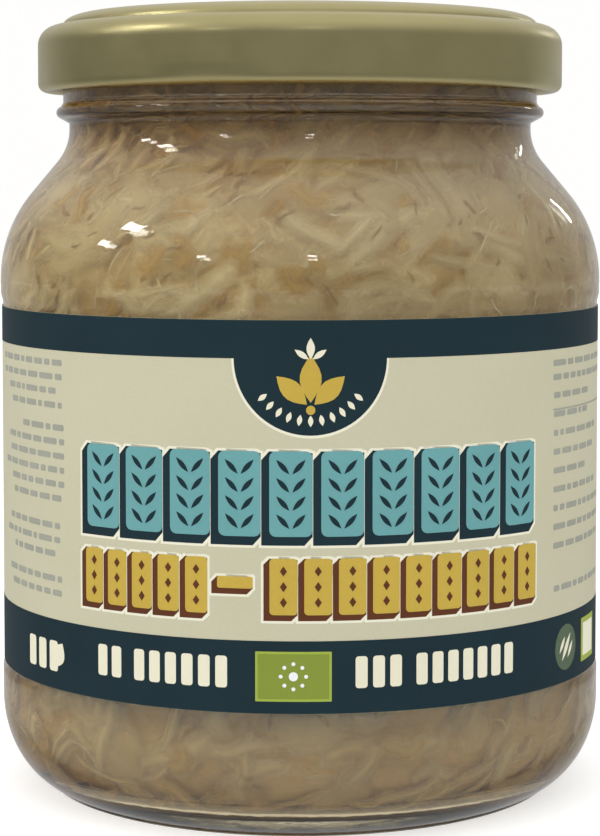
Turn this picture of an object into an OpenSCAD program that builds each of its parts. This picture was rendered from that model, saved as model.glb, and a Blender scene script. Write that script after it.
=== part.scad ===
// Twist-off glass jar of sauerkraut: glass, lug lid, wrap-round paper label,
// packed shredded cabbage and the brine above it.
// Millimetres, +Z up, origin at the centre of the base.

/* [Glass body] */
// Height of the glass alone, from the table to the rim
glass_h = 99; // [80:0.5:140]
// Diameter of the glass over its two bulges, above and below the label
body_d = 79.2; // [70:0.1:110]
// Thickness of the glass wall
wall = 2.5; // [1.8:0.1:3.2]
// How far the label panel is sunk below the bulges
panel_sink = 0.3; // [0.1:0.05:0.8]
// Height of the plain band between the heel and the label panel
low_bulge_h = 4.2; // [2:0.1:12]
// Height of the plain band between the label panel and the shoulder
top_bulge_h = 2.8; // [1.5:0.1:12]

/* [Base] */
// Height at which the rounded heel ends in the upright wall
heel_h = 11.7; // [6:0.1:18]
// How far the heel draws in from the wall, if it ran on to a flat
heel_w = 9.2; // [5:0.1:14]
// How far in from the wall the ring that the jar stands on begins
foot_in = 5.95; // [4:0.05:12]
// Width of the flat of that ring
foot_w = 2.2; // [1.2:0.1:4]
// Height of the hollow under the base
punt_h = 1.8; // [0.5:0.1:4]
// Thickness of the glass in the base
floor_t = 3.6; // [2.4:0.1:6]

/* [Shoulder and neck] */
// Radius of the round of the shoulder
shoulder_r = 17.7; // [8:0.1:24]
// Radius of the hollow where the shoulder runs into the neck
neck_fillet_r = 6.7; // [3:0.1:12]
// Steepest lean of the shoulder from upright, in degrees
shoulder_lean = 39.8; // [30:0.1:55]
// How far the neck is drawn in from the finish
neck_in = 0.8; // [0.4:0.05:3]
// Height of the neck, from the shoulder to the middle of the bead
neck_h = 2.1; // [1.6:0.1:8]
// How far the bead round the neck stands out from the finish
bead_out = 0.9; // [0.8:0.05:3]
// Height of the bead where it leaves the neck
bead_h = 2.6; // [1.6:0.1:4]

/* [Finish] */
// Height of the finish, from the middle of the bead to the rim
finish_h = 10.8; // [9:0.1:16]
// Outer diameter of the finish, without its threads
finish_d = 62.6; // [50:0.1:68]
// Number of threads, and of lugs in the lid
thread_n = 4; // [3:1:6]
// How far a thread stands out of the finish
thread_out = 0.8; // [0.4:0.05:1.2]
// Thickness of a thread
thread_w = 1.6; // [1:0.1:2.4]
// Angle that each thread runs round, in degrees
thread_arc = 64; // [30:1:80]
// Slope of a thread, in degrees
thread_tilt = 3; // [1:0.5:6]
// Depth of the middle of a thread below the rim
thread_drop = 4.8; // [3.5:0.1:7]

/* [Lid] */
// Gap between the threads and the lid's rolled edge
lid_clear = 0.25; // [0.15:0.05:0.6]
// Thickness of the sheet metal
lid_t = 0.25; // [0.2:0.05:0.5]
// Height from the lid's lower edge to its shoulder
lid_skirt_h = 8.6; // [7:0.1:12]
// Gap between the rim and the metal, which the sealing ring fills
lid_seat = 0.2; // [0.1:0.05:0.6]
// Radius of the lid's rounded shoulder
lid_shoulder_r = 2.5; // [1:0.1:4]
// Width of the shoulder round the raised top, out to the skirt
lid_ledge_w = 3.25; // [2.5:0.05:6]
// How far the raised top stands above the shoulder
lid_step_h = 1.6; // [0.8:0.1:3]
// Width of the rounded edge of the raised top
lid_edge_w = 3.6; // [1:0.1:6]
// Width of the raised ring round the sunk panel
lid_ring_w = 6.3; // [5:0.1:12]
// Depth of that panel
lid_panel_sink = 0.8; // [0.4:0.1:1.2]
// Diameter of the rolled edge's section
curl_d = 2.2; // [1.4:0.1:2.6]
// How far a lug reaches in past the rolled edge
lug_in = 0.8; // [0.4:0.1:1]
// Angle that each lug runs round, in degrees
lug_arc = 15; // [8:1:24]
// Turn of the first lug from +X, in degrees
lug_turn = -20; // [-45:1:45]

/* [Label] */
// Thickness of the paper
label_t = 0.12; // [0.1:0.01:0.3]
// Glue line between the glass and the paper
label_glue = 0.03; // [0.02:0.01:0.1]
// Bare strip of the panel above and below the label
label_margin = 0.5; // [0.2:0.1:4]
// Width of the lap where the two ends of the label meet at the back
label_lap = 7; // [4:0.5:14]

/* [Contents] */
// Gap left between the glass and what is in it
fill_gap = 0.08; // [0.05:0.01:0.2]
// Depth of the packed shreds' lowest hollows below the rim
kraut_drop = 21; // [16:0.5:40]
// Number of tufts of shreds on top
tuft_n = 9; // [5:1:13]
// Radius of a tuft
tuft_r = 8; // [5:0.5:9]
// How far the tallest tuft stands above the hollows
tuft_h = 6; // [3:0.5:8]
// Depth of the brine's surface below the rim
brine_drop = 6; // [5.5:0.1:10]

/* [Hidden] */
$fn = 160;

body_r = body_d / 2;
panel_r = body_r - panel_sink;
foot_r = body_r - foot_in;
finish_r = finish_d / 2;
neck_r = finish_r - neck_in;
bead_r = finish_r + bead_out;

// Heights of the glass, worked down from the rim
bead_z = glass_h - finish_h;
neck_z = bead_z - neck_h;
// The two rounds meet before the full lean where the neck is nearly as wide as the body
both_r = shoulder_r + neck_fillet_r;
neck_step = body_r - neck_r;
lean = min(shoulder_lean, acos(max(0, 1 - neck_step / both_r)));
lean_run = (neck_step - both_r * (1 - cos(lean))) / sin(lean);
shoulder_z = neck_z - both_r * sin(lean) - lean_run * cos(lean);
panel_top_z = shoulder_z - top_bulge_h;
panel_low_z = heel_h + low_bulge_h;

// The heel's ellipse dips this far under the table, and the foot cuts it off
heel_dip = 0.3;
heel_turn = acos((foot_r - body_r + heel_w) / heel_w);
// The dome of the base has a small flat in its middle, up to this angle of its arc
punt_flat = 82;
// Height over which the panel steps out to a bulge
step_h = 0.4;
// Rounding of the rim, inside and out
rim_r = wall * 0.45;
// Radius of the bead's nose
bead_nose_r = bead_h * 0.3;

lid_r = finish_r + thread_out + lid_clear + curl_d;
lid_shoulder_z = glass_h + lid_seat + lid_t;
lid_low_z = lid_shoulder_z - lid_skirt_h;
lid_step_r = lid_r - lid_ledge_w;
lid_panel_r = lid_step_r - lid_ring_w;
curl_z = lid_low_z + curl_d / 2;
curl_r = lid_r - curl_d / 2;
// Upright foot of the raised top, below its rounded edge
lid_riser_h = 0.1;
// Width of the slope round the sunk panel
lid_slope_w = 1.2;
// Height of a lug, and of its middle above the lid's lower edge
lug_h = 1.2;
lug_z = lid_low_z + 1.3;
// The lug sits this far along from the middle of its thread, towards the low end
lug_lag = 15;
// Turn of the first thread; the revolved body starts and ends between two threads
first_thread = lug_turn + lug_lag;

label_low_z = panel_low_z + label_margin;
label_top_z = panel_top_z - label_margin;
label_r = panel_r + label_glue;
// The lap is cut this much shorter than the label at each edge
lap_inset = 0.05;

kraut_z = glass_h - kraut_drop;
brine_z = glass_h - brine_drop;

// Points of an arc of an ellipse, from angle a0 to a1, with its own number of steps
function arc(cx, cz, rx, rz, a0, a1, n = 10) =
    [for (i = [0 : n]) let (a = a0 + (a1 - a0) * i / n) [cx + rx * cos(a), cz + rz * sin(a)]];

function reversed(list) = [for (i = [len(list) - 1 : -1 : 0]) list[i]];

// Shoulder and neck as one stretch, for the outside (g = 0) or sunk by g into the glass
function shoulder_path(g) = concat(
    arc(body_r - shoulder_r, shoulder_z, shoulder_r - g, shoulder_r - g, 0, lean, 12),
    arc(neck_r + neck_fillet_r, neck_z, neck_fillet_r + g, neck_fillet_r + g, 180 + lean, 180, 10));

// Outside of the glass, from the axis under the base up to the rim
function outside_path() = concat(
    [[0, punt_h * sin(punt_flat)]],
    arc(0, 0, foot_r - foot_w, punt_h, punt_flat, 0, 12),
    arc(foot_r - 0.6, 0.6, 0.6, 0.6, -90, 0, 4),
    arc(body_r - heel_w, heel_h, heel_w, heel_h + heel_dip, -heel_turn, 0, 18),
    [[body_r, panel_low_z - step_h], [panel_r, panel_low_z],
     [panel_r, panel_top_z], [body_r, panel_top_z + step_h]],
    shoulder_path(0),
    [[neck_r, bead_z - bead_h / 2]],
    arc(bead_r - bead_nose_r, bead_z, bead_nose_r, bead_nose_r, -60, 60, 6),
    [[finish_r, bead_z + bead_h / 2]],
    arc(finish_r - rim_r, glass_h - rim_r, rim_r, rim_r, 0, 90, 6));

// Inside of the glass, from the axis on the floor up to a given height in the neck,
// drawn in by a gap for what stands inside
function inside_path(gap) = let (g = wall + gap) concat(
    [[0, floor_t + gap + punt_h * sin(punt_flat)]],
    arc(0, floor_t + gap, body_r - heel_w, punt_h, punt_flat, 60, 3),
    arc(body_r - heel_w, heel_h, heel_w - g, heel_h - floor_t - gap, -90, 0, 14),
    shoulder_path(g));

// Closed section of the room inside the glass, between its floor and height z
module room_section(gap, z) {
    polygon(concat(
        inside_path(gap),
        [[neck_r - wall - gap, z], [0, z]]));
}

// One thread: a half-round rib, tipped about the radius through its middle
module thread() {
    translate([0, 0, glass_h - thread_drop])
        rotate([thread_tilt, 0, 0])
            rotate([0, 0, -thread_arc / 2])
                rotate_extrude(angle = thread_arc)
                    translate([finish_r, 0])
                        rib_section(thread_out, thread_w / 2);
}

// Rounded rib whose back is sunk into the wall behind it
module rib_section(out, half) {
    sunk = wall / 6;
    polygon(concat(
        [[-2 * sunk, -half]],
        arc(-sunk, 0, out + sunk, half, -90, 90, 10),
        [[-2 * sunk, half]]));
}

module jar() {
    color([0.80, 0.86, 0.80, 0.4]) {
        rotate([0, 0, first_thread + 180 / thread_n]) rotate_extrude()
            polygon(concat(
                outside_path(),
                arc(neck_r - wall + rim_r, glass_h - rim_r, rim_r, rim_r, 90, 180, 6),
                reversed(inside_path(0))));
        for (i = [0 : thread_n - 1])
            rotate([0, 0, first_thread + i * 360 / thread_n]) thread();
    }
}

// The lid's sheet from its middle to the foot of the skirt, t in from the outside
function lid_path(t) = let (top = lid_shoulder_z + lid_step_h) concat(
    [[0, top - lid_panel_sink - t],
     [lid_panel_r, top - lid_panel_sink - t],
     [lid_panel_r + lid_slope_w, top - t]],
    arc(lid_step_r - lid_edge_w, lid_shoulder_z + lid_riser_h,
        lid_edge_w - t, lid_step_h - lid_riser_h - t, 90, 0, 10),
    [[lid_step_r - t, lid_shoulder_z - t]],
    arc(lid_r - lid_shoulder_r, lid_shoulder_z - lid_shoulder_r,
        lid_shoulder_r - t, lid_shoulder_r - t, 90, 0, 10),
    [[lid_r - t, curl_z]]);

// One lug: the rolled edge pressed in towards the finish, under a thread
module lug() {
    rotate([0, 0, -lug_arc / 2])
        rotate_extrude(angle = lug_arc)
            translate([curl_r - curl_d / 2 - lug_in, lug_z - lug_h / 2])
                square([lug_in + curl_d / 2, lug_h]);
}

module lid() {
    color([0.62, 0.58, 0.38]) {
        rotate_extrude() {
            polygon(concat(lid_path(0), reversed(lid_path(lid_t))));
            translate([curl_r, curl_z]) circle(d = curl_d, $fn = 32);
        }
        for (i = [0 : thread_n - 1])
            rotate([0, 0, lug_turn + i * 360 / thread_n]) lug();
    }
}

module label() {
    lap_arc = label_lap / label_r * 180 / PI;
    color([0.86, 0.84, 0.72]) {
        translate([0, 0, label_low_z])
            rotate_extrude()
                translate([label_r, 0]) square([label_t, label_top_z - label_low_z]);
        translate([0, 0, label_low_z])
            rotate([0, 0, 90 - lap_arc / 2])
                rotate_extrude(angle = lap_arc)
                    translate([label_r + label_t / 2, lap_inset])
                        square([1.5 * label_t, label_top_z - label_low_z - 2 * lap_inset]);
    }
}

// The packed shreds' rough top: a bed with tufts set round it in a sunflower spiral
module tufts() {
    tuft_room = neck_r - wall - tuft_r / 2;
    translate([0, 0, floor_t / 2]) cylinder(r = body_r, h = kraut_z - floor_t / 2);
    for (i = [0 : tuft_n - 1]) {
        out = tuft_room * sqrt((i + 0.3) / tuft_n);
        rise = tuft_h * (0.55 + 0.45 * sin(i * 200));
        rotate([0, 0, i * 137.5])
            translate([out, 0, kraut_z + rise - tuft_r]) rotate([0, 90, 0]) sphere(r = tuft_r, $fn = 48);
    }
}

module sauerkraut() {
    color([0.66, 0.58, 0.44])
        intersection() {
            rotate_extrude() room_section(fill_gap, kraut_z + tuft_h);
            tufts();
        }
}

module brine() {
    color([0.45, 0.36, 0.22, 0.7])
        difference() {
            rotate_extrude()
                intersection() {
                    room_section(fill_gap, brine_z);
                    translate([0, kraut_z]) square([body_r, brine_z - kraut_z]);
                }
            tufts();
        }
}

jar();
lid();
label();
sauerkraut();
brine();
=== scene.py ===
"""Twist-off jar of sauerkraut: glass, gold lid, printed paper label, brine and packed shreds."""

import math

import bmesh
import bpy
import numpy as np
from mathutils import Matrix, Vector, noise


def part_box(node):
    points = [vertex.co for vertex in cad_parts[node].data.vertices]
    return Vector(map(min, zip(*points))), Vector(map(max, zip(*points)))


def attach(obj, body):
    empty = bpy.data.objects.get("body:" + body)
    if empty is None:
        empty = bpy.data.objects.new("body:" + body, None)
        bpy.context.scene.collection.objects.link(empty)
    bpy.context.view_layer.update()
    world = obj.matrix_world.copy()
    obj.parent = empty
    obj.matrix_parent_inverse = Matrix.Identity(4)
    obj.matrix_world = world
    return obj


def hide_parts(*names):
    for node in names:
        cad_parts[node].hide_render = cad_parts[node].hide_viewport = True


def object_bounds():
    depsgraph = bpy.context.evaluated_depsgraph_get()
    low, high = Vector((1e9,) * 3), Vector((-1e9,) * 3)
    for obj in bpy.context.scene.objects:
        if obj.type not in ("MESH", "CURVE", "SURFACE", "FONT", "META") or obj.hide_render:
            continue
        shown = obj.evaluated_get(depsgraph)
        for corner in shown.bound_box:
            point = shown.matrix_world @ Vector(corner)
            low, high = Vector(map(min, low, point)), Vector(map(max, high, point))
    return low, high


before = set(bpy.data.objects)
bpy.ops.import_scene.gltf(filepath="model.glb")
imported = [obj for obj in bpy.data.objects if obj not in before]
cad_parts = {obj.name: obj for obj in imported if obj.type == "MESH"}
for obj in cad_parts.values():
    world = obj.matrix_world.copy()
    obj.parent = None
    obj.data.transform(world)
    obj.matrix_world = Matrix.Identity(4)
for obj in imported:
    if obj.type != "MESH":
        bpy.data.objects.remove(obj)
cad_low, cad_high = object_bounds()

MM = 0.001
TURNS = 256

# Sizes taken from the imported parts, in millimetres
jar_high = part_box("jar")[1] / MM
lid_low, lid_high = (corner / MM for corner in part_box("lid"))
label_low, label_high = (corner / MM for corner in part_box("label"))
brine_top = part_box("brine")[1].z / MM
body_r = jar_high.x
glass_h = jar_high.z
lid_r = lid_high.x
label_r = label_high.x

# Sizes of the glass that the boxes don't say
wall = 2.5
panel_sink = 0.3
heel_h, heel_w, heel_dip = 11.7, 9.2, 0.3
foot_r, foot_w, foot_edge_r = 33.65, 2.2, 0.6
punt_h, floor_t = 1.8, 3.6
shoulder_r, neck_fillet_r, shoulder_lean = 17.7, 6.7, 39.8
neck_r, bead_r, bead_h, bead_edge_r = 30.5, 32.2, 2.6, 0.78
finish_r, rim_r = 31.3, 1.125
bead_z = glass_h - 10.8
neck_z = bead_z - 2.1
panel_low_z = 15.9
panel_step_h = 0.4
panel_drop = 2.8
thread_n, thread_out, thread_half, thread_arc = 4, 0.8, 0.8, 64
thread_z = glass_h - 4.8
thread_tilt = 3
lug_turn, lug_lag = -20, 15

both_r = shoulder_r + neck_fillet_r
lean = math.radians(shoulder_lean)
lean_run = (body_r - neck_r - both_r * (1 - math.cos(lean))) / math.sin(lean)
shoulder_z = neck_z - both_r * math.sin(lean) - lean_run * math.cos(lean)
panel_top_z = shoulder_z - panel_drop
panel_r = body_r - panel_sink

# Sizes of the lid
sheet_t = 0.25
curl_d = 2.2
lid_shoulder_r, lid_shoulder_z = 2.5, 99.45
lid_step_r, lid_edge_w, lid_riser_h = 31.3, 3.6, 0.1
lid_panel_r, lid_slope_w, lid_panel_sink = 25.0, 1.2, 0.8
button_r, button_rise = 11.0, 0.35
press_h, press_in, press_arc = 2.6, 0.4, 15

# Sizes of the label, its inks and its bands
paper_t, lap_out, lap_turn = 0.12, 0.115, 10.2
ink_t, ink_bite = 0.02, 0.03
bend_step = 1.25
band_low, band_high = label_low.z + 0.02, 25.1
top_low, top_high = 58.5, label_high.z - 0.02
seal_u, seal_r = 1.25, 9.1
motif_z, motif_r, dash_n, dash_gap = 52.7, 7.15, 11, 10.5

# Sizes of the filling
brine_reach, brine_lip = 0.1, 0.05
core_depth, core_relief, core_step, core_gap = 1.25, 0.45, 1.1, 1.5
neck_draw, neck_draw_z, neck_draw_h = 0.28, 77, 10.0
low_stretch_s, low_stretch_z, high_stretch_z, low_share = 13.0, 21, 57, 0.33


# ---- making and handing over pieces ----

def arc(cx, cz, rx, rz, a0, a1, n=10):
    """Points of an arc of an ellipse, angles in degrees."""
    turn = [math.radians(a0 + (a1 - a0) * i / n) for i in range(n + 1)]
    return [(cx + rx * math.cos(a), cz + rz * math.sin(a)) for a in turn]


def spaced(start, end, n):
    """n points from start to end, without the two ends."""
    return [tuple(a + (b - a) * i / (n + 1) for a, b in zip(start, end)) for i in range(1, n + 1)]


def eased(share):
    """0 to 1 with a soft start and a soft end."""
    return share * share * (3 - 2 * share)


def turned(outline, closed, steps=TURNS):
    """An outline of (radius, height) spun right round the jar's axis."""
    bm = bmesh.new()
    verts = [bm.verts.new((r, 0, z)) for r, z in outline]
    edges = [bm.edges.new(pair) for pair in zip(verts, verts[1:])]
    if closed:
        edges.append(bm.edges.new((verts[-1], verts[0])))
    bmesh.ops.spin(bm, geom=verts + edges, axis=(0, 0, 1), cent=(0, 0, 0),
                   angle=math.tau, steps=steps, use_merge=True)
    bmesh.ops.remove_doubles(bm, verts=bm.verts, dist=1e-4)
    return bm


def finished(bm, name, material, nodes=(), sharp=None):
    """Turn a bmesh in millimetres into a piece of the jar."""
    bmesh.ops.scale(bm, vec=(MM, MM, MM), verts=bm.verts)
    bmesh.ops.recalc_face_normals(bm, faces=bm.faces)
    mesh = bpy.data.meshes.new(name)
    bm.to_mesh(mesh)
    bm.free()
    return placed(mesh, name, material, nodes, sharp)


def placed(mesh, name, material, nodes=(), sharp=None):
    """Give a mesh in metres its material and its place in the frame."""
    mesh.shade_smooth()
    if sharp:
        mesh.set_sharp_from_angle(angle=math.radians(sharp))
    mesh.materials.append(material)
    piece = bpy.data.objects.new(name, mesh)
    bpy.context.scene.collection.objects.link(piece)
    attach(piece, "root")
    if nodes:
        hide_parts(*nodes)
    return piece


# ---- finishes ----

class Value:
    """A shader socket that can stand in a sum."""

    def __init__(self, net, socket):
        self.net = net
        self.socket = socket

    def maths(self, operation, a, b):
        return self.net.value("ShaderNodeMath", {"operation": operation}, {0: a, 1: b})

    def __add__(self, other):
        return self.maths("ADD", self, other)

    __radd__ = __add__

    def __sub__(self, other):
        return self.maths("SUBTRACT", self, other)

    def __rsub__(self, other):
        return self.maths("SUBTRACT", other, self)

    def __mul__(self, other):
        return self.maths("MULTIPLY", self, other)

    __rmul__ = __mul__


class Net:
    """A net of shader nodes."""

    def __init__(self, tree):
        self.tree = tree
        tree.nodes.clear()

    def node(self, kind, settings=None, sockets=None):
        made = self.tree.nodes.new(kind)
        for key, setting in (settings or {}).items():
            setattr(made, key, setting)
        for key, given in (sockets or {}).items():
            if isinstance(given, Value):
                self.tree.links.new(given.socket, made.inputs[key])
            else:
                made.inputs[key].default_value = given
        return made

    def value(self, kind, settings=None, sockets=None, output=0):
        return Value(self, self.node(kind, settings, sockets).outputs[output])

    def spread(self, source, low, high, to_low=0.0, to_high=1.0):
        """Stretch low..high to to_low..to_high, and hold the ends."""
        return self.value("ShaderNodeMapRange", {"clamp": True}, {
            0: source, 1: low, 2: high, 3: to_low, 4: to_high})


class Finish(Net):
    """A material made node by node."""

    def __init__(self, name):
        self.material = bpy.data.materials.new(name)
        self.material.use_nodes = True
        super().__init__(self.material.node_tree)

    def place(self):
        return self.value("ShaderNodeTexCoord", output="Object")

    def height(self):
        return self.value("ShaderNodeSeparateXYZ", {}, {0: self.place()}, output="Z")

    def grain(self, scale, detail=3.0, roughness=0.5, stretch=None, coordinates=None):
        """Noise from 0 to 1, its scale counted in bumps for each millimetre."""
        where = coordinates or self.place()
        if stretch:
            where = self.value("ShaderNodeMapping", {}, {"Vector": where, "Scale": stretch})
        return self.value("ShaderNodeTexNoise", {}, {
            "Vector": where, "Scale": scale / MM, "Detail": detail, "Roughness": roughness})

    def blend(self, factor, a, b):
        """Colour a where the factor is 0 and colour b where it is 1."""
        sides = {0: factor}
        for key, side in ((6, a), (7, b)):
            sides[key] = side if isinstance(side, Value) else (*side, 1)
        return self.value("ShaderNodeMix", {"data_type": "RGBA"}, sides, output=2)

    def bumped(self, height, strength, distance):
        return self.value("ShaderNodeBump", {}, {
            "Height": height, "Strength": strength, "Distance": distance * MM})

    def stained_and_shade_painted(self, shade, most):
        """Golden stains through the heap, a browner tone towards the bottom of the jar, and painted shade
        in the neck: a browner, darker tone where the lid shades the heap.
        """
        stain = self.spread(self.grain(0.075, 4.0, 0.6), 0.56, 0.74, 0.0, most)
        shade = self.blend(stain, shade, (0.50, 0.33, 0.11))
        low = self.spread(self.height(), 8 * MM, 34 * MM, 0.45, 0.0)
        # painted shade: the heap browns and darkens in the neck, under the lid
        high = self.spread(self.height(), 76 * MM, 84 * MM, 0.0, 0.15)
        return self.blend(low + high, shade, (0.47, 0.29, 0.08))

    def surface(self, **sockets):
        """A Principled surface, its sockets named with _ for each space."""
        named = {key.replace("_", " "): given for key, given in sockets.items()}
        for key, given in named.items():
            if isinstance(given, tuple) and "Radius" not in key:
                named[key] = (*given, 1)
        return self.value("ShaderNodeBsdfPrincipled", {}, named)

    def lets_lamps_through(self, surface, share=None):
        """Clear to lamps, or clear to a share of their light, so that what is behind it is lit."""
        lamp = self.value("ShaderNodeLightPath", output="Is Shadow Ray")
        if share:
            lamp = share * lamp
        clear = self.value("ShaderNodeBsdfTransparent")
        return self.value("ShaderNodeMixShader", {}, {0: lamp, 1: surface, 2: clear})

    def done(self, surface, volume=None):
        """Send the surface, and a volume if there is one, to the material's output."""
        ends = {"Surface": surface}
        if volume:
            ends["Volume"] = volume
        self.node("ShaderNodeOutputMaterial", {}, ends)
        return self.material


def clear_glass():
    """Clear glass, a little wavy, with a painted brown tint in its thick foot that stands for the filling
    seen and mirrored there.
    """
    f = Finish("jar_glass")
    waves = f.grain(0.045, 1.0) + 0.12 * f.grain(0.4, 2.0)
    # painted reflection: the brown tint low in the foot stands for the filling and surroundings that the
    # thick glass shows
    tint = f.blend(f.spread(f.height(), 2.5 * MM, 6 * MM), (0.93, 0.81, 0.54), (0.95, 0.975, 0.96))
    skin = f.surface(Base_Color=tint, Roughness=0.0, IOR=1.5, Transmission_Weight=1.0,
                     Normal=f.bumped(waves, 0.35, 0.5))
    return f.done(f.lets_lamps_through(skin))


def brine_liquid():
    """Clear brine that browns what lies deep in it."""
    f = Finish("sour_brine")
    skin = f.surface(Base_Color=(0.98, 0.95, 0.88), Roughness=0.0, IOR=1.34, Transmission_Weight=1.0)
    tint = f.value("ShaderNodeVolumeAbsorption", {}, {"Color": (0.86, 0.68, 0.36, 1), "Density": 190.0})
    return f.done(f.lets_lamps_through(skin), tint)


def gold_lacquer():
    """Gold lacquer over rolled tinplate, faintly mottled."""
    f = Finish("gold_lacquer")
    mottle = f.grain(0.18, 4.0, 0.6)
    rolled = f.grain(0.9, 2.0, 0.5, (1, 1, 6))
    colour = f.blend(f.spread(mottle, 0.3, 0.7), (0.53, 0.47, 0.235), (0.57, 0.505, 0.26))
    rough = 0.30 + 0.07 * f.spread(mottle, 0.3, 0.7) + 0.03 * rolled
    dimple = f.grain(0.5, 2.0)
    return f.done(f.surface(Base_Color=colour, Metallic=1.0, Roughness=rough, Coat_Weight=0.1,
                            Coat_Roughness=0.15, Normal=f.bumped(dimple, 0.06, 0.05)))


def printed(name, colour, dark=0.86, speckle=0.5):
    """Ink on paper: a flat colour that the paper's tooth breaks up a little."""
    f = Finish(name)
    tooth = f.grain(3.2, 3.0, 0.7)
    wash = f.grain(0.12, 3.0)
    worn = speckle * f.spread(tooth, 0.35, 0.68) + (1 - speckle) * f.spread(wash, 0.3, 0.7)
    shade = f.blend(worn, tuple(dark * c for c in colour), colour)
    return f.done(f.surface(Base_Color=shade, Roughness=0.5 + 0.16 * tooth, Specular_IOR_Level=0.14,
                            Normal=f.bumped(tooth, 0.15, 0.02)))


def paper():
    """Cream paper, with a fine fibre and a faint cloud."""
    f = Finish("cream_paper")
    fibre = f.grain(1.6, 4.0, 0.65, (1, 1, 2.4))
    cloud = f.grain(0.07, 2.0)
    tone = 0.6 * f.spread(fibre, 0.3, 0.7) + 0.4 * f.spread(cloud, 0.3, 0.7)
    shade = f.blend(tone, (0.532, 0.509, 0.358), (0.573, 0.55, 0.398))
    return f.done(f.surface(Base_Color=shade, Roughness=0.46 + 0.14 * fibre, Specular_IOR_Level=0.4,
                            Normal=f.bumped(fibre, 0.18, 0.02)))


def cabbage(name, dark, pale, full, gold=0.35):
    """Pickled cabbage: a tone for each shred, fibres along it, clear edges, stains through the heap, and
    painted shade in the neck.
    """
    f = Finish(name)
    tone = f.value("ShaderNodeAttribute", {"attribute_name": "tone"}, output="Fac")
    edge = f.value("ShaderNodeAttribute", {"attribute_name": "edge"}, output="Fac")
    along = f.value("ShaderNodeUVMap", {"uv_map": "lie"})
    fibre = f.grain(0.0012, 3.0, 0.55, (1.2, 7, 1), along)
    cloud = f.grain(0.13, 3.0, 0.5)
    share = 0.34 * tone + 0.26 * fibre + 0.40 * f.spread(cloud, 0.28, 0.72)
    # stains, a browner bottom, and painted shade in the neck under the lid
    shade = f.stained_and_shade_painted(f.blend(f.spread(share, 0.15, 0.8), dark, pale), gold)
    cover = f.spread(edge + 0.5 * fibre, 0.2, 1.2, 0.0, full)
    flesh = f.surface(Base_Color=shade, Roughness=0.5 + 0.2 * cloud, Specular_IOR_Level=0.06,
                      Alpha=cover, Normal=f.bumped(fibre + cloud, 0.3, 0.15))
    return f.done(f.lets_lamps_through(flesh, 0.6))


def heap_core():
    """Close-packed cabbage, blotched and stranded, that lets a little light in, with stains and painted
    shade in the neck.
    """
    f = Finish("packed_cabbage")
    blotch = f.grain(0.13, 4.0, 0.55)
    strands = f.grain(0.5, 3.0, 0.5, (1, 1, 2.2))
    share = 0.65 * f.spread(blotch, 0.3, 0.7) + 0.35 * f.spread(strands, 0.3, 0.7)
    # stains, a browner bottom, and painted shade in the neck under the lid
    shade = f.stained_and_shade_painted(f.blend(share, (0.50, 0.36, 0.165), (0.74, 0.59, 0.33)), 0.35)
    return f.done(f.surface(Base_Color=shade, Roughness=0.5 + 0.2 * strands, Specular_IOR_Level=0.06,
                            Subsurface_Weight=0.2, Subsurface_Radius=(1.0, 0.7, 0.35),
                            Subsurface_Scale=2 * MM, Normal=f.bumped(strands, 0.5, 0.4)))


def floor_paint():
    """A plain pale floor."""
    f = Finish("pale_floor")
    cloud = f.grain(0.01, 2.0)
    shade = f.blend(cloud, (0.90, 0.90, 0.90), (0.93, 0.93, 0.93))
    return f.done(f.surface(Base_Color=shade, Roughness=0.75 + 0.1 * cloud, Specular_IOR_Level=0.2,
                            Emission_Color=(1, 1, 1), Emission_Strength=0.5))


# ---- glass ----

def shoulder_path(g):
    """Shoulder and neck, for the outside (g = 0) or sunk by g into the glass."""
    return (arc(body_r - shoulder_r, shoulder_z, shoulder_r - g, shoulder_r - g, 0, shoulder_lean, 22)
            + arc(neck_r + neck_fillet_r, neck_z, neck_fillet_r + g, neck_fillet_r + g,
                  180 + shoulder_lean, 180, 16))


def outside_path():
    """Outside of the glass from the axis under the base up to the rim."""
    heel_turn = math.degrees(math.acos((foot_r - body_r + heel_w) / heel_w))
    low = (body_r, panel_low_z - panel_step_h)
    heel = arc(body_r - heel_w, heel_h, heel_w, heel_h + heel_dip, -heel_turn, 0, 30)
    return ([(0, punt_h)] + arc(0, 0, foot_r - foot_w, punt_h, 86, 0, 22)
            + arc(foot_r - foot_edge_r, foot_edge_r, foot_edge_r, foot_edge_r, -90, 0, 6)
            + heel + spaced(heel[-1], low, 4)
            + [low, (panel_r, panel_low_z), (panel_r, panel_low_z + panel_step_h)] + panel_top_path()
            + shoulder_path(0) + [(neck_r, bead_z - bead_h / 2 - 0.1)]
            + arc(bead_r - bead_edge_r, bead_z, bead_edge_r, bead_edge_r, -75, 75, 10)
            + [(finish_r, bead_z + bead_h / 2)]
            + spaced((finish_r, bead_z + bead_h / 2), (finish_r, glass_h - rim_r), 24)
            + arc(finish_r - rim_r, glass_h - rim_r, rim_r, rim_r, 0, 90, 8))


def panel_top_path(n=8):
    """The soft step from the label panel out to the body, from just above the label."""
    low, run = label_high.z + 0.1, panel_top_z + 1.2 - label_high.z
    return [(panel_r + panel_sink * (0.5 - 0.5 * math.cos(math.pi * i / n)), low + run * i / n)
            for i in range(n + 1)]


def inside_path(g):
    """Inside of the glass from the axis up to the neck, drawn in by g."""
    t = wall + g
    return ([(0, floor_t + g + punt_h)] + arc(0, floor_t + g, body_r - heel_w, punt_h, 86, 60, 8)
            + arc(body_r - heel_w, heel_h, heel_w - t, heel_h - floor_t - g, -90, 0, 24)
            + spaced((body_r - t, heel_h), (body_r - t, shoulder_z), 30) + shoulder_path(t))


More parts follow.
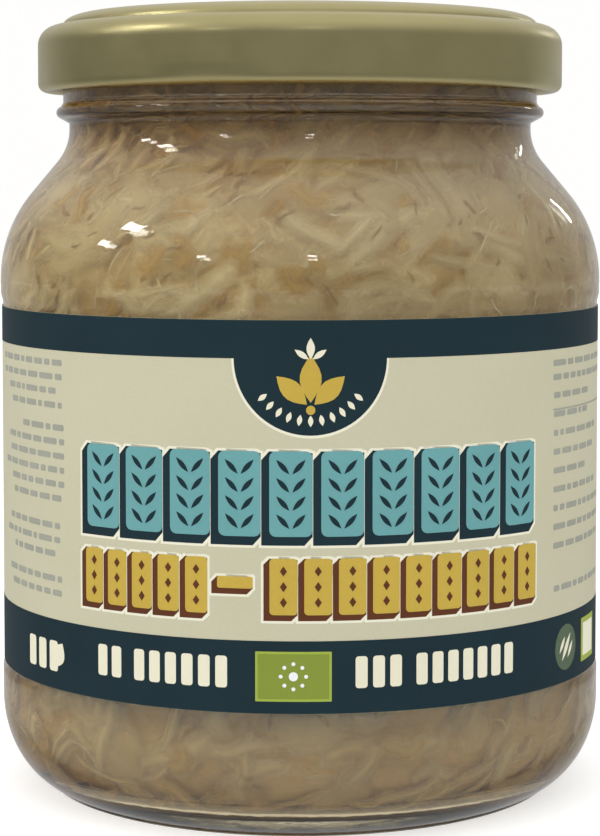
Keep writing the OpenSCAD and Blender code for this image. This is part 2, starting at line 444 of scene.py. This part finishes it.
def add_threads(bm):
    """Raise the slanting ribs that the lid's lugs run under."""
    for vert in bm.verts:
        r = math.hypot(vert.co.x, vert.co.y)
        if vert.co.z < bead_z + 1.5 or r < finish_r - 0.05:
            continue
        turn = math.degrees(math.atan2(vert.co.y, vert.co.x)) - lug_turn - lug_lag
        along = (turn + 180 / thread_n) % (360 / thread_n) - 180 / thread_n
        middle = thread_z + finish_r * math.radians(along) * math.tan(math.radians(thread_tilt))
        across = (vert.co.z - middle) / thread_half
        ends = min(1, max(0, (thread_arc / 2 - abs(along)) / 4))
        if abs(across) < 1:
            rise = thread_out * math.sqrt(1 - across * across) * math.sin(ends * math.pi / 2)
            vert.co.x *= 1 + rise / r
            vert.co.y *= 1 + rise / r


def make_jar():
    """The glass, outside, rim and inside in one skin, with its threads."""
    rim = arc(neck_r - wall + rim_r, glass_h - rim_r, rim_r, rim_r, 90, 180, 8)
    bm = turned(outside_path() + rim[1:] + inside_path(0)[::-1], False)
    add_threads(bm)
    return finished(bm, "glass_jar", clear_glass(), ["jar"])


# ---- lid ----

def lid_path(t):
    """The lid's sheet from its middle to the foot of the skirt, t in from the outside."""
    top = lid_shoulder_z + (lid_high.z - lid_shoulder_z) - t
    panel = top - lid_panel_sink
    step = lid_high.z - lid_shoulder_z
    skirt = (lid_r - t, lid_low.z + curl_d / 2)
    corner = arc(lid_r - lid_shoulder_r, lid_shoulder_z - lid_shoulder_r,
                 lid_shoulder_r - t, lid_shoulder_r - t, 90, 0, 14)
    return ([(0, panel + button_rise), (button_r * 0.8, panel + button_rise * 0.94),
             (button_r * 0.95, panel + button_rise * 0.6), (button_r, panel + 0.05),
             (button_r + 0.5, panel), (lid_panel_r - 0.4, panel), (lid_panel_r, panel + 0.06),
             (lid_panel_r + lid_slope_w, top - 0.05), (lid_panel_r + lid_slope_w + 0.35, top)]
            + arc(lid_step_r - lid_edge_w, lid_shoulder_z + lid_riser_h,
                  lid_edge_w - t, step - lid_riser_h - t, 90, 0, 14)
            + [(lid_step_r - t + 0.05, lid_shoulder_z - t)]
            + corner + spaced(corner[-1], skirt, 16) + [skirt])


def press_lugs(bm):
    """Press the foot of the skirt in where the four lugs are."""
    top = lid_low.z + press_h
    for vert in bm.verts:
        r = math.hypot(vert.co.x, vert.co.y)
        if vert.co.z > top or r < lid_r - 4:
            continue
        turn = math.degrees(math.atan2(vert.co.y, vert.co.x)) - lug_turn
        along = (turn + 45) % 90 - 45
        share = eased(max(0, 1 - abs(along) / press_arc))
        low = eased(min(1, (top - vert.co.z) / press_h))
        press = press_in * share * low
        vert.co.x *= 1 - press / r
        vert.co.y *= 1 - press / r


def make_lid():
    """The lid as one folded sheet, its foot rolled under, with the lugs pressed in."""
    curl = arc(lid_r - curl_d / 2, lid_low.z + curl_d / 2, curl_d / 2, curl_d / 2, 0, -250, 22)
    inner = lid_path(sheet_t)[::-1]
    bm = turned(lid_path(0)[:-1] + curl + [p for p in inner if p[1] > lid_low.z + curl_d], False)
    press_lugs(bm)
    return finished(bm, "twist_lid", gold_lacquer(), ["lid"])


# ---- label and its print ----

def wrapped(bm):
    """Lay a flat plate (arc length, height, thickness) round the label."""
    for vert in bm.verts:
        u, z, t = vert.co
        r = label_r + t
        vert.co = (r * math.sin(u / label_r), -r * math.cos(u / label_r), z)
    return bm


def plate(shapes, level):
    """Flat shapes of (arc length, height) points, cut so that they bend, as thick as their level."""
    bm = bmesh.new()
    for shape in shapes:
        bm.faces.new([bm.verts.new((u, z, 0)) for u, z in shape])
    low = min(vert.co.x for vert in bm.verts)
    high = max(vert.co.x for vert in bm.verts)
    cut = math.ceil(low / bend_step) * bend_step
    while cut < high:
        bmesh.ops.bisect_plane(bm, geom=bm.verts[:] + bm.edges[:] + bm.faces[:], dist=1e-4,
                               plane_co=(cut, 0, 0), plane_no=(1, 0, 0))
        cut += bend_step
    raised = bmesh.ops.extrude_face_region(bm, geom=bm.faces[:])["geom"]
    for item in raised:
        if isinstance(item, bmesh.types.BMVert):
            item.co.z += ink_t * level
    return wrapped(bm)


def block(u0, z0, u1, z1, r=0.3, lean_u=0.0):
    """A rectangle with rounded corners; lean_u shifts its top edge."""
    corners = [(u1 - r, z1 - r, 0), (u0 + r, z1 - r, 90), (u0 + r, z0 + r, 180), (u1 - r, z0 + r, 270)]
    points = []
    for u, z, a in corners:
        points += arc(u, z, r, r, a, a + 90, 3)
    return [(u + lean_u * (z - z0) / (z1 - z0), z) for u, z in points]


def disc(u, z, ru, rz=None, a0=0, a1=360, n=24):
    """A round or oval, or the part of one from a0 to a1."""
    points = arc(u, z, ru, rz or ru, a0, a1, n)
    return points[:-1] if a1 - a0 == 360 else points


def leaf(u, z, length, width, turn, n=7):
    """A pointed leaf with its middle at (u, z)."""
    side = [(length * (i / n - 0.5), width / 2 * math.sin(math.pi * i / n)) for i in range(n + 1)]
    ring = side + [(x, -y) for x, y in side[-2:0:-1]]
    c, s = math.cos(math.radians(turn)), math.sin(math.radians(turn))
    return [(u + x * c - y * s, z + x * s + y * c) for x, y in ring]


def grown(shape, by):
    """The shape drawn larger by a rim, for halos."""
    cu = sum(p[0] for p in shape) / len(shape)
    cz = sum(p[1] for p in shape) / len(shape)
    wide = (max(p[0] for p in shape) - min(p[0] for p in shape)) / 2
    tall = (max(p[1] for p in shape) - min(p[1] for p in shape)) / 2
    return [(cu + (u - cu) * (1 + by / wide), cz + (z - cz) * (1 + by / tall)) for u, z in shape]


def dropped(shape, du, dz):
    """The hull that a block's drop shadow fills, for a block made by block()."""
    us, zs = [p[0] for p in shape], [p[1] for p in shape]
    u0, u1, z0, z1 = min(us), max(us), min(zs), max(zs)
    return [(u1, z1 + dz * 0.2), (u0, z1), (u0 + du, z1 + dz), (u0 + du, z0 + dz),
            (u1 + du, z0 + dz), (u1, z0)]


def inked(name, shapes, level, material):
    """A print in one ink."""
    return finished(plate(shapes, level), name, material, sharp=40)


def make_label():
    """The paper, right round the jar, and its lap at the back."""
    section = [(label_r - paper_t, label_low.z), (label_r, label_low.z),
               (label_r, label_high.z), (label_r - paper_t, label_high.z)]
    bm = turned(section, True)
    lap = math.radians(lap_turn)
    back = [bm.verts.new((r, 0, z)) for r, z in (
        (label_r - paper_t / 2, label_low.z + 0.05), (label_r + lap_out, label_low.z + 0.05),
        (label_r + lap_out, label_high.z - 0.05), (label_r - paper_t / 2, label_high.z - 0.05))]
    face = bm.faces.new(back)
    bmesh.ops.rotate(bm, verts=back, cent=(0, 0, 0),
                     matrix=Matrix.Rotation(math.pi / 2 - lap / 2, 3, "Z"))
    bmesh.ops.spin(bm, geom=[face], axis=(0, 0, 1), cent=(0, 0, 0), angle=lap, steps=8)
    return finished(bm, "paper_label", paper(), ["label"], sharp=40)


def ring_band(z0, z1):
    """A band of ink right round the label."""
    inner, outer = label_r - ink_bite, label_r + ink_t
    return turned([(inner, z0), (outer, z0), (outer, z1), (inner, z1)], True)


def make_bands(navy, pale):
    """Two navy bands, and the half-round seal that hangs from the upper one."""
    for name, z0, z1 in (("band_low", band_low, band_high), ("band_top", top_low, top_high)):
        finished(ring_band(z0, z1), name, navy, sharp=40)
    half = disc(seal_u, top_low + 0.05, seal_r, a0=180, a1=360, n=40)
    inked("seal_halo", [disc(seal_u, top_low, seal_r + 0.28, a0=180, a1=360, n=40)], 0.5, pale)
    inked("seal_ground", [half], 1, navy)


def make_seal_motif(gold, cream):
    """A sprout over a fan of leaves, in an arc of dashes."""
    leaves = []
    for turn, length, width in ((0, 5.6, 2.6), (47, 4.9, 2.3), (-47, 4.9, 2.3)):
        a = math.radians(90 + turn)
        middle = 0.55 * length + 0.35
        leaves.append(leaf(seal_u + middle * math.cos(a), motif_z + middle * math.sin(a),
                           length, width, 90 + turn))
    inked("motif_leaves", leaves + [disc(seal_u, motif_z - 0.25, 0.55, n=16)], 2, gold)
    sprout = [leaf(seal_u, 59.7, 2.5, 1.0, 90)]
    sprout += [leaf(seal_u + side * 1.05, 59.0, 2.0, 0.7, 90 - side * 55) for side in (-1, 1)]
    inked("motif_sprout", sprout, 2, cream)
    dashes = []
    for i in range(dash_n):
        turn = 270 + (i - dash_n // 2) * dash_gap
        a = math.radians(turn)
        dashes.append(leaf(seal_u + motif_r * math.cos(a), 58.3 + motif_r * math.sin(a), 1.35, 0.62, turn))
    inked("motif_dashes", dashes, 2, cream)


def make_block_rows(inks):
    """Two rows of plain blocks, with leaves or studs let in, and the shadow they throw."""
    tall = [block(-28.1 + 6.12 * i, 37.5, -23.0 + 6.12 * i, 47.6, 0.75) for i in range(10)]
    short = [block(-28.4 + 3.62 * i, 28.2, -25.6 + 3.62 * i, 34.9, 0.45) for i in range(5)]
    short += [block(-3.6 + 4.1 * i, 28.2, -0.3 + 4.1 * i, 34.9, 0.45) for i in range(9)]
    dash = [block(-9.9, 31.3, -5.6, 32.7, 0.25)]
    rows = (("tall", tall, -0.95, -1.05, "teal", "navy"),
            ("short", short + dash, -0.72, -0.7, "yellow", "brown"))
    for name, blocks, du, dz, face, shade in rows:
        shadows = [dropped(b, du, dz) for b in blocks]
        inked(name + "_halo", [grown(b, 0.3) for b in blocks + shadows], 0.5, inks["pale"])
        inked(name + "_shadow", shadows, 1, inks[shade])
        inked(name + "_blocks", blocks, 2, inks[face])
    ferns = []
    for b in tall:
        u = sum(p[0] for p in b) / len(b)
        for i in range(4):
            ferns += [leaf(u + side * 0.95, 39.3 + 2.15 * i, 2.3, 0.62, 90 - side * 42) for side in (-1, 1)]
    inked("tall_inlay", ferns, 3, inks["navy"])
    studs = [disc(sum(p[0] for p in b) / len(b), 29.7 + 1.85 * i, 0.42, 0.6, n=4)
             for b in short for i in range(3)]
    inked("short_inlay", studs, 3, inks["brown"])


def make_band_marks(inks):
    """Cream bars, a plain green panel and a round mark on the lower band."""
    bars = []
    for first, counts, pitch in ((-26.4, (2, 6), 2.15), (6.6, (3, 7), 2.12)):
        u = first
        for count in counts:
            for _ in range(count):
                bars.append(block(u, 19.4, u + 1.45, 23.2, 0.35))
                u += pitch
            u += 1.2
    bars += [block(-41 + 2.6 * i, 18.6, -39.2 + 2.6 * i, 22.4, 0.4) for i in range(3)]
    bars += [leaf(-33.9, 20.7, 3.6, 2.6, 60)]
    inked("cream_bars", bars, 2, inks["cream"])
    inked("green_rim", [block(-5.3, 17.9, 3.75, 23.85, 0.05)], 2, inks["lime"])
    inked("green_panel", [block(-5.0, 18.2, 3.45, 23.55, 0.05)], 3, inks["green"])
    dots = [disc(-0.78 + 1.5 * math.cos(a), 20.9 + 1.5 * math.sin(a), 0.24, n=10)
            for a in (math.tau * i / 8 for i in range(8))]
    inked("green_dots", dots + [disc(-0.78, 20.9, 0.55, n=16)], 4, inks["white"])
    inked("round_mark", [disc(39.9, 20.8, 2.9, n=32)], 2, inks["moss"])
    inked("round_mark_bars", [leaf(39.9, 20.8, 4.0, 0.8, 55), leaf(38.8, 21.2, 2.4, 0.6, 55),
                              leaf(41.0, 20.4, 2.4, 0.6, 55)], 3, inks["cream"])
    inked("pale_square", [block(44.9, 18.0, 50.9, 23.6, 0.1)], 2, inks["lime"])
    inked("pale_square_inner", [block(45.6, 18.7, 50.2, 22.9, 0.1)], 3, inks["pale"])


def lines_of(u0, u1, z_top, rows, pitch, seed, ragged=0.5, from_right=False):
    """Rows of plain short bars that stand for small print."""
    rng = np.random.default_rng(seed)
    bars = []
    for row in range(rows):
        z = z_top - row * pitch
        width = (u1 - u0) * (1 - ragged * rng.random())
        u = u1 - width if from_right else u0
        end = u + width
        while u < end - 0.8:
            word = min(rng.uniform(0.9, 3.2), end - u)
            bars.append(block(u, z, u + word, z + 0.75, 0.2))
            u += word + 0.55
    return bars


def make_small_print(grey):
    """Columns of plain bars at the sides and on the back, with a few thin rules."""
    left = (lines_of(-52, -32.9, 56.6, 4, 1.75, 3, 0.3, True)
            + lines_of(-52, -32.5, 48.6, 6, 1.75, 4, 0.5, True)
            + lines_of(-52, -33.4, 36.4, 3, 1.75, 6, 0.4, True)
            + lines_of(-52, -32.2, 29.8, 2, 1.75, 7, 0.3, True))
    right = (lines_of(36.2, 56, 56.4, 2, 1.75, 8, 0.1) + lines_of(36.4, 56, 52.4, 9, 2.35, 9, 0.45)
             + lines_of(36.6, 56, 28.2, 1, 2.0, 10, 0.1))
    back = (lines_of(66, 104, 56.0, 11, 2.1, 11, 0.35) + lines_of(66, 104, 31.5, 2, 2.1, 12, 0.3)
            + lines_of(-108, -62, 56.0, 8, 2.1, 13, 0.35) + lines_of(-108, -84, 36.0, 4, 2.1, 14, 0.3))
    inked("small_print", left + right + back, 1, grey)
    rules = [block(36.2, 50.9, 56, 51.1, 0.05)]
    rules += [block(-80, 28.4 + 1.4 * i, -62, 28.6 + 1.4 * i, 0.05) for i in range(8)]
    inked("thin_rules", rules, 1, grey)


def make_print():
    """The label's print in its eleven inks."""
    inks = {
        "navy": printed("navy_ink", (0.012, 0.033, 0.044), 0.8),
        "teal": printed("teal_ink", (0.15, 0.375, 0.39), 0.88),
        "yellow": printed("yellow_ink", (0.56, 0.395, 0.066), 0.9),
        "brown": printed("brown_ink", (0.125, 0.040, 0.016), 0.8),
        "cream": printed("cream_ink", (0.80, 0.77, 0.60), 0.95),
        "pale": printed("pale_ink", (0.81, 0.79, 0.64), 0.97),
        "green": printed("green_ink", (0.235, 0.305, 0.045), 0.92),
        "lime": printed("lime_ink", (0.36, 0.45, 0.07), 0.92),
        "moss": printed("moss_ink", (0.10, 0.15, 0.09), 0.85),
        "white": printed("white_ink", (0.86, 0.86, 0.88), 0.97),
        "grey": printed("grey_ink", (0.36, 0.37, 0.31), 0.85),
    }
    make_bands(inks["navy"], inks["pale"])
    make_seal_motif(inks["yellow"], inks["cream"])
    make_block_rows(inks)
    make_band_marks(inks)
    make_small_print(inks["grey"])


# ---- brine and cabbage ----

def make_brine():
    """All the room inside the glass up to the brine's level, reaching just into the wall."""
    top_r = neck_r - wall + brine_reach
    path = inside_path(-brine_reach) + [(top_r, brine_top), (top_r - 0.4, brine_top - 0.4 * brine_lip),
                                        (top_r - 1.2, brine_top - brine_lip), (0, brine_top - brine_lip)]
    bm = turned(path, False)
    return finished(bm, "brine_fill", brine_liquid(), ["brine"], sharp=60)


class Lining:
    """The inside of the glass as a strip (arc length s, turn), with depth inwards."""

    def __init__(self):
        path = np.array(inside_path(0) + [(neck_r - wall, brine_top)])
        step = np.hypot(*np.diff(path, axis=0).T)
        keep = np.r_[True, step > 1e-6]
        self.path = path[keep]
        self.s = np.r_[0, np.cumsum(step[step > 1e-6])]
        slope = np.gradient(self.path, self.s, axis=0)
        slope /= np.linalg.norm(slope, axis=1)[:, None]
        self.out = np.stack([slope[:, 1], -slope[:, 0]], 1)

    def at_height(self, z):
        """The arc length at a height, above the lowest point of the floor's edge."""
        side = np.arange(len(self.s)) >= np.argmin(self.path[:, 1])
        return float(np.interp(z, self.path[side, 1], self.s[side]))

    def point(self, s, turn, depth):
        """Where a point lies that is so deep behind the glass."""
        r = np.interp(s, self.s, self.path[:, 0]) - depth * np.interp(s, self.s, self.out[:, 0])
        z = np.interp(s, self.s, self.path[:, 1]) - depth * np.interp(s, self.s, self.out[:, 1])
        return np.stack([r * np.cos(turn), r * np.sin(turn), z], -1)

    def radius(self, s):
        return np.interp(s, self.s, self.path[:, 0])


lining = Lining()


def strip_master(nx, ny, crown):
    """A flat strip, 1 by 1 by 1, with a crowned back; its few faces are copied for every shred."""
    bm = bmesh.new()
    bmesh.ops.create_grid(bm, x_segments=nx, y_segments=ny, size=0.5)
    for vert in bm.verts:
        vert.co.z = 0
    bmesh.ops.solidify(bm, geom=bm.faces[:], thickness=1.0)
    low = min(v.co.z for v in bm.verts)
    high = max(v.co.z for v in bm.verts)
    for vert in bm.verts:
        flat = (vert.co.z - low) / (high - low)
        edge = (2 * abs(vert.co.y)) ** 2
        vert.co.z = 0.5 + (flat - 0.5) * (1 - crown * edge)
    bmesh.ops.recalc_face_normals(bm, faces=bm.faces)
    bm.verts.ensure_lookup_table()
    corners = np.array([v.co[:] for v in bm.verts])
    faces = [[v.index for v in f.verts] for f in bm.faces]
    bm.free()
    return corners, faces


def strewn(name, master, copies, material, nodes=()):
    """Join copies of a master, each given as (points, tone, place in its pattern), into one piece."""
    corners, faces = master
    count = len(corners)
    places, tones, lies = zip(*copies)
    points = np.concatenate(places) * MM
    loops = [[i + n * count for i in face] for n in range(len(copies)) for face in faces]
    mesh = bpy.data.meshes.new(name)
    mesh.from_pydata(points.tolist(), [], loops)
    x, y = 2 * corners[:, 0], 2 * corners[:, 1]
    edge = (1 - y * y) * (1 - x ** 4)
    for kind, values in (("tone", np.repeat(tones, count)), ("edge", np.tile(edge, len(copies)))):
        held = mesh.attributes.new(kind, "FLOAT", "POINT")
        held.data.foreach_set("value", values.astype(np.float32))
    lie = mesh.uv_layers.new(name="lie")
    own = np.concatenate(lies)
    index = np.empty(len(mesh.loops), np.int32)
    mesh.loops.foreach_get("vertex_index", index)
    lie.uv.foreach_set("vector", own[index].astype(np.float32).ravel())
    return placed(mesh, name, material, nodes)


def laid_shred(rng, master, s0, turn0, depth0, length, width, thick, heading, bend, lift, tone, wave=0.25):
    """One shred laid along the inside of the glass."""
    x, y, z = master[0].T
    taper = 1 - rng.uniform(0.1, 0.6) * np.abs(2 * x) ** 2.5
    lx = x * length
    ly = y * width * taper + wave * np.sin(x * rng.uniform(5, 11) + rng.uniform(0, 6)) * width * 0.5
    a = bend * lx
    px = np.where(abs(bend) < 1e-4, lx, np.sin(a) / bend) - ly * np.sin(a)
    py = np.where(abs(bend) < 1e-4, 0, (1 - np.cos(a)) / bend) + ly * np.cos(a)
    c, sn = math.cos(heading), math.sin(heading)
    du, ds = px * c - py * sn, px * sn + py * c
    s = np.clip(s0 + ds, lining.s[0] + 6, lining.s[-1] - 0.5)
    ripple = rng.uniform(0.02, 0.1) * (1 + np.sin(x * rng.uniform(4, 12) + rng.uniform(0, 6)))
    tilt = rng.normal(0, 0.04) * ly
    depth = depth0 + (1 - z) * thick + lift * (2 * x + rng.uniform(-0.5, 0.5)) ** 2 + ripple + tilt
    depth = np.maximum(depth, 0.04 + (1 - z) * thick * 0.6)
    turn = turn0 + du / np.maximum(lining.radius(s), 6)
    lie = np.stack([x * length + rng.uniform(0, 90), y * width + rng.uniform(0, 90)], -1)
    return lining.point(s, turn, depth), tone, lie


def sunk(s):
    """How far the heap draws back from the glass, which is more in the neck."""
    height = float(np.interp(s, lining.s, lining.path[:, 1]))
    return neck_draw * min(neck_draw_h, max(0.0, height - neck_draw_z))


def make_shreds():
    """Loose cabbage of six kinds against the glass, where the label leaves it in view."""
    rng = np.random.default_rng(41)
    narrow = strip_master(8, 2, 0.96)
    wide = strip_master(8, 4, 0.92)
    pale = cabbage("pale_shreds", (0.54, 0.41, 0.205), (0.84, 0.71, 0.43), 0.78)
    leafy = cabbage("leaf_pieces", (0.52, 0.385, 0.185), (0.80, 0.66, 0.385), 0.66)
    golden = cabbage("golden_shreds", (0.46, 0.28, 0.07), (0.66, 0.46, 0.18), 0.75)
    curled = cabbage("thin_edges", (0.66, 0.56, 0.36), (0.82, 0.74, 0.52), 0.8, 0.0)
    browned = cabbage("brown_flecks", (0.27, 0.155, 0.05), (0.42, 0.27, 0.11), 0.7, 0.0)
    # Name, master, count, material, length, width, thickness, depth behind the glass and bend
    kinds = (
        ("leaf_pieces", wide, 420, leafy, (6, 15), (3.0, 8.0), (0.1, 0.25), (0.1, 1.0), 0.05),
        ("pale_shreds", narrow, 1000, pale, (4, 14), (1.4, 4.2), (0.12, 0.3), (0.03, 0.9), 0.08),
        ("golden_shreds", narrow, 170, golden, (3, 8), (2.0, 5.0), (0.1, 0.2), (0.05, 0.4), 0.1),
        ("thin_edges", narrow, 200, curled, (1.5, 4.5), (0.2, 0.42), (0.2, 0.3), (0.0, 0.25), 0.22),
        ("curls", narrow, 26, curled, (5, 8), (0.3, 0.5), (0.3, 0.4), (0.0, 0.2), 0.75),
        ("brown_flecks", narrow, 420, browned, (1.0, 3.4), (0.3, 0.9), (0.1, 0.2), (0.0, 0.25), 0.2),
    )
    stretches = ((low_stretch_s, lining.at_height(low_stretch_z)),
                 (lining.at_height(high_stretch_z), lining.at_height(90)))
    for name, master, count, material, lengths, widths, thicks, depths, bent in kinds:
        copies = []
        for _ in range(count):
            s0 = rng.uniform(*stretches[0 if rng.random() < low_share else 1])
            heading = rng.normal(0.55, 0.55) if rng.random() < 0.72 else rng.uniform(0, math.pi)
            copies.append(laid_shred(
                rng, master, s0, rng.uniform(0, math.tau), sunk(s0) + rng.uniform(*depths),
                rng.uniform(*lengths), rng.uniform(*widths), rng.uniform(*thicks), heading,
                rng.normal(0, bent), rng.exponential(0.04), rng.uniform(0, 1)))
        strewn(name, master, copies, material)


def make_core():
    """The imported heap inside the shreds, with its uneven outline, up into the neck."""
    rows = []
    for s in np.arange(0, lining.at_height(brine_top - core_gap), core_step):
        x, _, z = lining.point(s, 0.0, core_depth + sunk(s))
        rows.append((float(x), float(z)))
    top_z = rows[-1][1]
    rows += spaced(rows[-1], (0, top_z), 20) + [(0, top_z)]
    bm = turned(rows, False, 180)
    bm.normal_update()
    for vert in bm.verts:
        rough = noise.fractal(vert.co * 0.16, 1.0, 2.0, 4) + 0.5 * abs(noise.noise(vert.co * 0.55))
        vert.co += vert.normal * (core_relief * rough)
    return finished(bm, "packed_core", heap_core(), ["sauerkraut"])


# ---- stage, lamps and camera ----

def aimed(thing, at, target):
    """Put a thing somewhere and turn it to a target."""
    thing.location = at
    thing.rotation_euler = (Vector(target) - Vector(at)).to_track_quat("-Z", "Y").to_euler()


def lamp(name, turn, rise, far, size, strength, colour=(1, 1, 1), mirrored=True, height=0.07):
    """A lamp, its turn counted from the front and its rise from level, both in degrees.

    A lamp that isn't mirrored lights matt surfaces only, as one behind a polarising sheet does.
    """
    data = bpy.data.lights.new(name, "AREA")
    data.shape = "RECTANGLE"
    data.size, data.size_y = size
    data.energy = strength
    data.color = colour
    made = bpy.data.objects.new(name, data)
    made.visible_glossy = made.visible_transmission = mirrored
    bpy.context.scene.collection.objects.link(made)
    t, e = math.radians(turn), math.radians(rise)
    at = (far * math.sin(t) * math.cos(e), -far * math.cos(t) * math.cos(e), height + far * math.sin(e))
    aimed(made, at, (0, 0, height))


def make_lamps():
    """Small lamps for the highlights, and wide soft ones for the light itself."""
    lamp("key_lamp", -75, 36, 0.6, (0.075, 0.05), 0.25, (1, 0.98, 0.94))
    lamp("side_lamp", -82, 24, 0.7, (0.06, 0.04), 0.14)
    lamp("front_left_lamp", -38, 22, 0.8, (0.045, 0.028), 0.075)
    lamp("front_lamp", 5, 24, 0.9, (0.055, 0.028), 0.09)
    lamp("right_strip", 139, 18, 0.6, (0.02, 0.09), 0.05)
    lamp("left_soft", -45, 35, 1.3, (0.8, 0.8), 2.75, (1, 0.985, 0.95), False)
    lamp("left_low", -72, 3, 0.9, (0.3, 0.3), 0.4, (1, 0.985, 0.95), False, 0.02)
    lamp("right_soft", 50, 30, 1.4, (0.8, 0.8), 3.25, (1, 1, 1), False)


def make_world():
    """Dim round the front, brighter behind, above and straight below; the camera sees plain white."""
    world = bpy.data.worlds.new("studio")
    bpy.context.scene.world = world
    world.use_nodes = True
    sky = Net(world.node_tree)
    facing = sky.value("ShaderNodeTexCoord", output="Generated")
    parts = sky.node("ShaderNodeSeparateXYZ", {}, {0: facing})
    right, back, up = (Value(sky, parts.outputs[axis]) for axis in "XYZ")
    behind = sky.spread(back, 0.45, 0.9)
    above = sky.spread(up, 0.12, 0.85)
    below = sky.spread(up, -0.85, -0.35, 1.0, 0.0)
    glow = 0.27 + 0.28 * behind + 0.50 * above + 0.38 * below + 0.03 * right
    seen = sky.value("ShaderNodeLightPath", output="Is Camera Ray")
    light = sky.value("ShaderNodeBackground", {}, {
        "Color": (1, 0.995, 0.985, 1), "Strength": seen + (1 - seen) * glow})
    sky.node("ShaderNodeOutputWorld", {}, {"Surface": light})


def make_stage():
    """The floor, just under the foot, which the glass doesn't mirror."""
    bm = bmesh.new()
    bmesh.ops.create_grid(bm, x_segments=1, y_segments=1, size=1.5)
    bmesh.ops.translate(bm, vec=(0, 0, cad_low.z - 0.0001), verts=bm.verts)
    mesh = bpy.data.meshes.new("floor")
    bm.to_mesh(mesh)
    bm.free()
    mesh.materials.append(floor_paint())
    floor = bpy.data.objects.new("floor", mesh)
    floor.visible_glossy = False
    bpy.context.scene.collection.objects.link(floor)


def make_camera():
    """A long lens a little above the middle, looking slightly down."""
    data = bpy.data.cameras.new("camera")
    camera = bpy.data.objects.new("camera", data)
    bpy.context.scene.collection.objects.link(camera)
    data.sensor_width = 36
    data.lens = 102.66
    data.shift_y = -0.1155
    data.clip_start = 0.01
    camera.location = (0, -0.3177, 0.0796)
    camera.rotation_euler = (math.pi / 2 - 0.06, 0, 0)
    bpy.context.scene.camera = camera
    bpy.context.scene.view_settings.view_transform = "Standard"
    bpy.context.scene.cycles.transparent_max_bounces = 32


make_camera()
make_stage()
make_world()
make_lamps()
make_jar()
make_lid()
make_label()
make_print()
make_brine()
make_core()
make_shreds()
